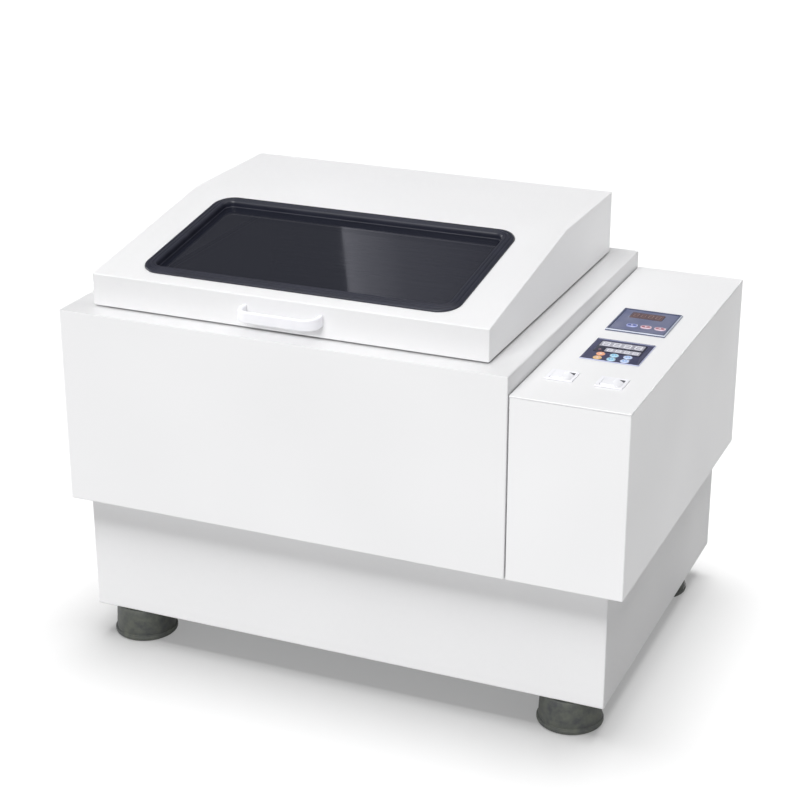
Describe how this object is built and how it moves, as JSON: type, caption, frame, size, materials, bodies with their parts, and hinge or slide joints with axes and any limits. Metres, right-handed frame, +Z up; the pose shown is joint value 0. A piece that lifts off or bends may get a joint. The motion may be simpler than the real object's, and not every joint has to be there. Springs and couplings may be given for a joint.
{
  "type": "incubated benchtop shaker",
  "caption": "White incubated benchtop shaker: heated chamber under a sloped, windowed lid, an orbiting flask tray, a control box at the right and a plinth on rubber feet.",
  "frame": {"origin": "on the bench under the centre of the machine's box, between the four feet", "axes": "+X to the machine's right, where the control box is, +Y to the rear, where the lid is hinged, +Z up"},
  "size_m": [0.7, 0.4924, 0.5113],
  "materials": {
    "white_paint": "satin white powder coat on folded sheet steel",
    "panel_paint": "smooth white enamel on the control panel",
    "stainless": "brushed stainless sheet",
    "machined_steel": "turned and ground steel",
    "cast_aluminium": "as cast, machined on its faces",
    "dark_enamel": "dark grey enamel",
    "mineral_wool": "matted mineral wool",
    "black_rubber": "satin blue-black extruded rubber",
    "grey_rubber": "matt dark grey moulded rubber",
    "belt_rubber": "matt black belt rubber",
    "smoked_glass": "polished, dark grey tint",
    "white_plastic": "moulded, semi-gloss",
    "black_plastic": "moulded, fine texture",
    "slate_plastic": "satin blue-grey moulding",
    "navy_plastic": "satin navy film over a moulding",
    "red_lens": "polished brown-red display filter",
    "grey_lens": "clear window over light grey displays",
    "blue_key": "moulded, semi-gloss",
    "pink_key": "moulded, semi-gloss",
    "orange_key": "moulded, semi-gloss",
    "cyan_key": "moulded, semi-gloss"
  },
  "bodies": {
    "root": {"base_plinth": "white_paint", "base_floor": "stainless", "foot_front_left": "grey_rubber", "foot_front_right": "grey_rubber", "foot_rear_left": "grey_rubber", "foot_rear_right": "grey_rubber", "cabinet_shell": "white_paint", "control_box": "white_paint", "control_panel": "panel_paint", "chamber_liner": "stainless", "chamber_insulation": "mineral_wool", "mouth_seal": "black_rubber", "air_duct_cover": "stainless", "fan_motor": "dark_enamel", "heater_tube": "stainless", "temperature_probe": "machined_steel", "drive_motor": "dark_enamel", "drive_belt": "belt_rubber", "drive_bearing_housing": "cast_aluminium", "idler_housing_left": "cast_aluminium", "idler_housing_right": "cast_aluminium", "hinge_body_leaf": "stainless", "hinge_pin": "machined_steel", "power_inlet": "black_plastic", "temperature_module": "slate_plastic", "temperature_display": "red_lens", "speed_module": "navy_plastic", "speed_display": "grey_lens", "shake_switch_frame": "white_plastic", "power_switch_frame": "white_plastic"},
    "lid": {"lid_shell": "white_paint", "lid_liner": "white_paint", "window_gasket": "black_rubber", "window_pane": "smoked_glass", "lid_handle": "white_plastic", "hinge_lid_leaf": "stainless"},
    "crank": {"crank_shaft": "machined_steel", "driven_pulley": "cast_aluminium", "counterweight": "dark_enamel"},
    "tray": {"tray_carrier": "cast_aluminium", "flask_tray": "stainless", "flask_clamp_front_left": "stainless", "flask_clamp_front_right": "stainless", "flask_clamp_rear_left": "stainless", "flask_clamp_rear_right": "stainless"},
    "idler_left": {"idler_crank_left": "machined_steel"},
    "idler_right": {"idler_crank_right": "machined_steel"},
    "motor_rotor": {"motor_pulley": "machined_steel"},
    "fan_rotor": {"fan_wheel": "cast_aluminium"},
    "set_key": {"temperature_key_set": "blue_key"},
    "down_key": {"temperature_key_down": "pink_key"},
    "up_key": {"temperature_key_up": "pink_key"},
    "upper_key_1": {"speed_key_upper_1": "orange_key"},
    "upper_key_2": {"speed_key_upper_2": "cyan_key"},
    "upper_key_3": {"speed_key_upper_3": "cyan_key"},
    "lower_key_1": {"speed_key_lower_1": "orange_key"},
    "lower_key_2": {"speed_key_lower_2": "cyan_key"},
    "lower_key_3": {"speed_key_lower_3": "cyan_key"},
    "shake_paddle": {"shake_rocker": "white_plastic"},
    "power_paddle": {"power_rocker": "white_plastic"}
  },
  "joints": [
    {"name": "lid_hinge", "type": "hinge", "parent": "root", "child": "lid", "pos_m": [-0.069, 0.2246, 0.4338], "axis": [-1, 0, 0], "range_deg": [0, 95]},
    {"name": "crank_spin", "type": "hinge", "parent": "root", "child": "crank", "pos_m": [-0.099, -0.0592, 0.15], "axis": [0, 0, 1], "continuous": true},
    {"name": "tray_orbit", "type": "hinge", "parent": "crank", "child": "tray", "pos_m": [-0.089, -0.0592, 0.245], "axis": [0, 0, 1], "continuous": true},
    {"name": "idler_left_spin", "type": "hinge", "parent": "root", "child": "idler_left", "pos_m": [-0.209, 0.0808, 0.225], "axis": [0, 0, 1], "continuous": true},
    {"name": "idler_right_spin", "type": "hinge", "parent": "root", "child": "idler_right", "pos_m": [0.011, 0.0808, 0.225], "axis": [0, 0, 1], "continuous": true},
    {"name": "motor_spin", "type": "hinge", "parent": "root", "child": "motor_rotor", "pos_m": [0.101, -0.0592, 0.1308], "axis": [0, 0, 1], "continuous": true},
    {"name": "fan_spin", "type": "hinge", "parent": "root", "child": "fan_rotor", "pos_m": [0.14, 0.0008, 0.33225], "axis": [1, 0, 0], "continuous": true},
    {"name": "set_key_press", "type": "slide", "parent": "root", "child": "set_key", "axis": [0, 0, -1], "range_m": [0, 0.001], "stiffness_N_per_m": 300, "springref_m": -0.0005},
    {"name": "down_key_press", "type": "slide", "parent": "root", "child": "down_key", "axis": [0, 0, -1], "range_m": [0, 0.001], "stiffness_N_per_m": 300, "springref_m": -0.0005},
    {"name": "up_key_press", "type": "slide", "parent": "root", "child": "up_key", "axis": [0, 0, -1], "range_m": [0, 0.001], "stiffness_N_per_m": 300, "springref_m": -0.0005},
    {"name": "upper_key_1_press", "type": "slide", "parent": "root", "child": "upper_key_1", "axis": [0, 0, -1], "range_m": [0, 0.001], "stiffness_N_per_m": 300, "springref_m": -0.0005},
    {"name": "upper_key_2_press", "type": "slide", "parent": "root", "child": "upper_key_2", "axis": [0, 0, -1], "range_m": [0, 0.001], "stiffness_N_per_m": 300, "springref_m": -0.0005},
    {"name": "upper_key_3_press", "type": "slide", "parent": "root", "child": "upper_key_3", "axis": [0, 0, -1], "range_m": [0, 0.001], "stiffness_N_per_m": 300, "springref_m": -0.0005},
    {"name": "lower_key_1_press", "type": "slide", "parent": "root", "child": "lower_key_1", "axis": [0, 0, -1], "range_m": [0, 0.001], "stiffness_N_per_m": 300, "springref_m": -0.0005},
    {"name": "lower_key_2_press", "type": "slide", "parent": "root", "child": "lower_key_2", "axis": [0, 0, -1], "range_m": [0, 0.001], "stiffness_N_per_m": 300, "springref_m": -0.0005},
    {"name": "lower_key_3_press", "type": "slide", "parent": "root", "child": "lower_key_3", "axis": [0, 0, -1], "range_m": [0, 0.001], "stiffness_N_per_m": 300, "springref_m": -0.0005},
    {"name": "shake_rock", "type": "hinge", "parent": "root", "child": "shake_paddle", "pos_m": [0.24775, -0.1692, 0.406], "axis": [0, -1, 0], "range_deg": [0, 28]},
    {"name": "power_rock", "type": "hinge", "parent": "root", "child": "power_paddle", "pos_m": [0.30475, -0.1692, 0.406], "axis": [0, -1, 0], "range_deg": [0, 28]}
  ],
  "couplings": [
    {"joint": "tray_orbit", "follows": "crank_spin", "ratio": -1},
    {"joint": "idler_left_spin", "follows": "crank_spin", "ratio": 1},
    {"joint": "idler_right_spin", "follows": "crank_spin", "ratio": 1},
    {"joint": "motor_spin", "follows": "crank_spin", "ratio": 3}
  ]
}
